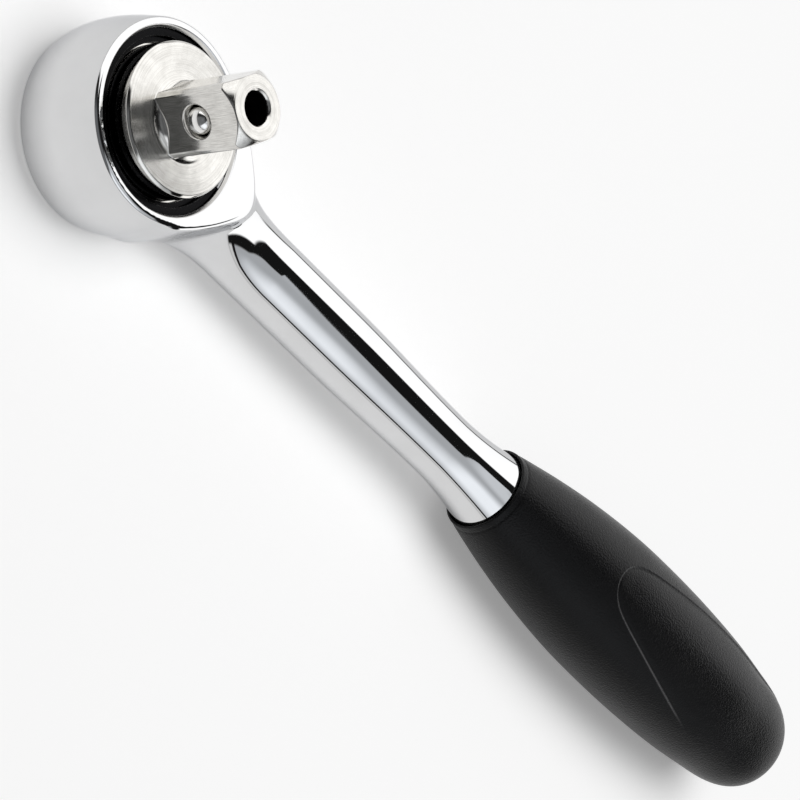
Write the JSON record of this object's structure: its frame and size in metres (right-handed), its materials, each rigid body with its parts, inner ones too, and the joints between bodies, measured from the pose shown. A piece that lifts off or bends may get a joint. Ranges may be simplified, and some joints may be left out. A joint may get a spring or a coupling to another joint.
{
  "type": "round head ratchet",
  "caption": "Round head ratchet with a square drive, two-way pawl mechanism with a reversing dial at the back, quick release button and a black soft grip.",
  "frame": {"origin": "centre of the tool's footprint, on the plane that the reversing dial and the belly of the grip rest on", "axes": "+X from the drive axis along the handle towards the grip's end, +Z along the drive axis towards the drive square"},
  "size_m": [0.2574, 0.0428, 0.0448],
  "materials": {
    "polished_chrome": "polished chrome plate",
    "bright_steel": "bright turned and ground",
    "hardened_steel": "hardened, oiled",
    "spring_steel": "drawn wire",
    "blackened_steel": "blackened, satin",
    "bearing_bronze": "machined",
    "soft_grip": "matt, finely pebbled",
    "seal_rubber": "matt"
  },
  "bodies": {
    "handle": {"head_forging": "polished_chrome", "grip": "soft_grip", "retaining_ring": "blackened_steel", "cover_washer": "blackened_steel", "tail_bush": "bearing_bronze", "dial_snap_ring": "spring_steel"},
    "spindle": {"drive_spindle": "bright_steel", "seal_ring": "seal_rubber", "thrust_washer": "bearing_bronze", "pawl_pin_left": "hardened_steel", "pawl_pin_right": "hardened_steel", "pawl_spring_left": "spring_steel", "pawl_spring_right": "spring_steel", "dial_detent_ball": "hardened_steel", "dial_detent_spring": "spring_steel", "release_spring": "spring_steel"},
    "dial": {"reversing_dial": "bright_steel"},
    "pawl_l": {"pawl_left": "hardened_steel"},
    "pawl_r": {"pawl_right": "hardened_steel"},
    "release": {"release_button": "bright_steel", "release_plunger": "bright_steel"},
    "ball": {"drive_detent_ball": "bright_steel"}
  },
  "joints": [
    {"name": "spindle_spin", "type": "hinge", "parent": "handle", "child": "spindle", "pos_m": [-0.10734, 0, 0], "axis": [0, 0, 1], "continuous": true},
    {"name": "dial_turn", "type": "hinge", "parent": "spindle", "child": "dial", "pos_m": [-0.10734, 0, 0], "axis": [0, 0, 1], "range_deg": [-30, 30]},
    {"name": "pawl_left_swing", "type": "hinge", "parent": "spindle", "child": "pawl_l", "pos_m": [-0.1002, -0.00889, 0], "axis": [0, 0, 1], "range_deg": [-9, 9]},
    {"name": "pawl_right_swing", "type": "hinge", "parent": "spindle", "child": "pawl_r", "pos_m": [-0.11777, 0.00459, 0], "axis": [0, 0, 1], "range_deg": [-9, 9]},
    {"name": "button_press", "type": "slide", "parent": "spindle", "child": "release", "axis": [0, 0, 1], "range_m": [0, 0.003], "stiffness_N_per_m": 900, "deforming": ["release_spring"]},
    {"name": "ball_retract", "type": "slide", "parent": "spindle", "child": "ball", "axis": [-0.6088, -0.7934, 0], "range_m": [-0.0012, 0]}
  ],
  "couplings": [
    {"joint": "pawl_left_swing", "follows": "dial_turn", "ratio": 0.3},
    {"joint": "pawl_right_swing", "follows": "dial_turn", "ratio": 0.3},
    {"joint": "ball_retract", "follows": "button_press", "ratio": -0.4}
  ]
}
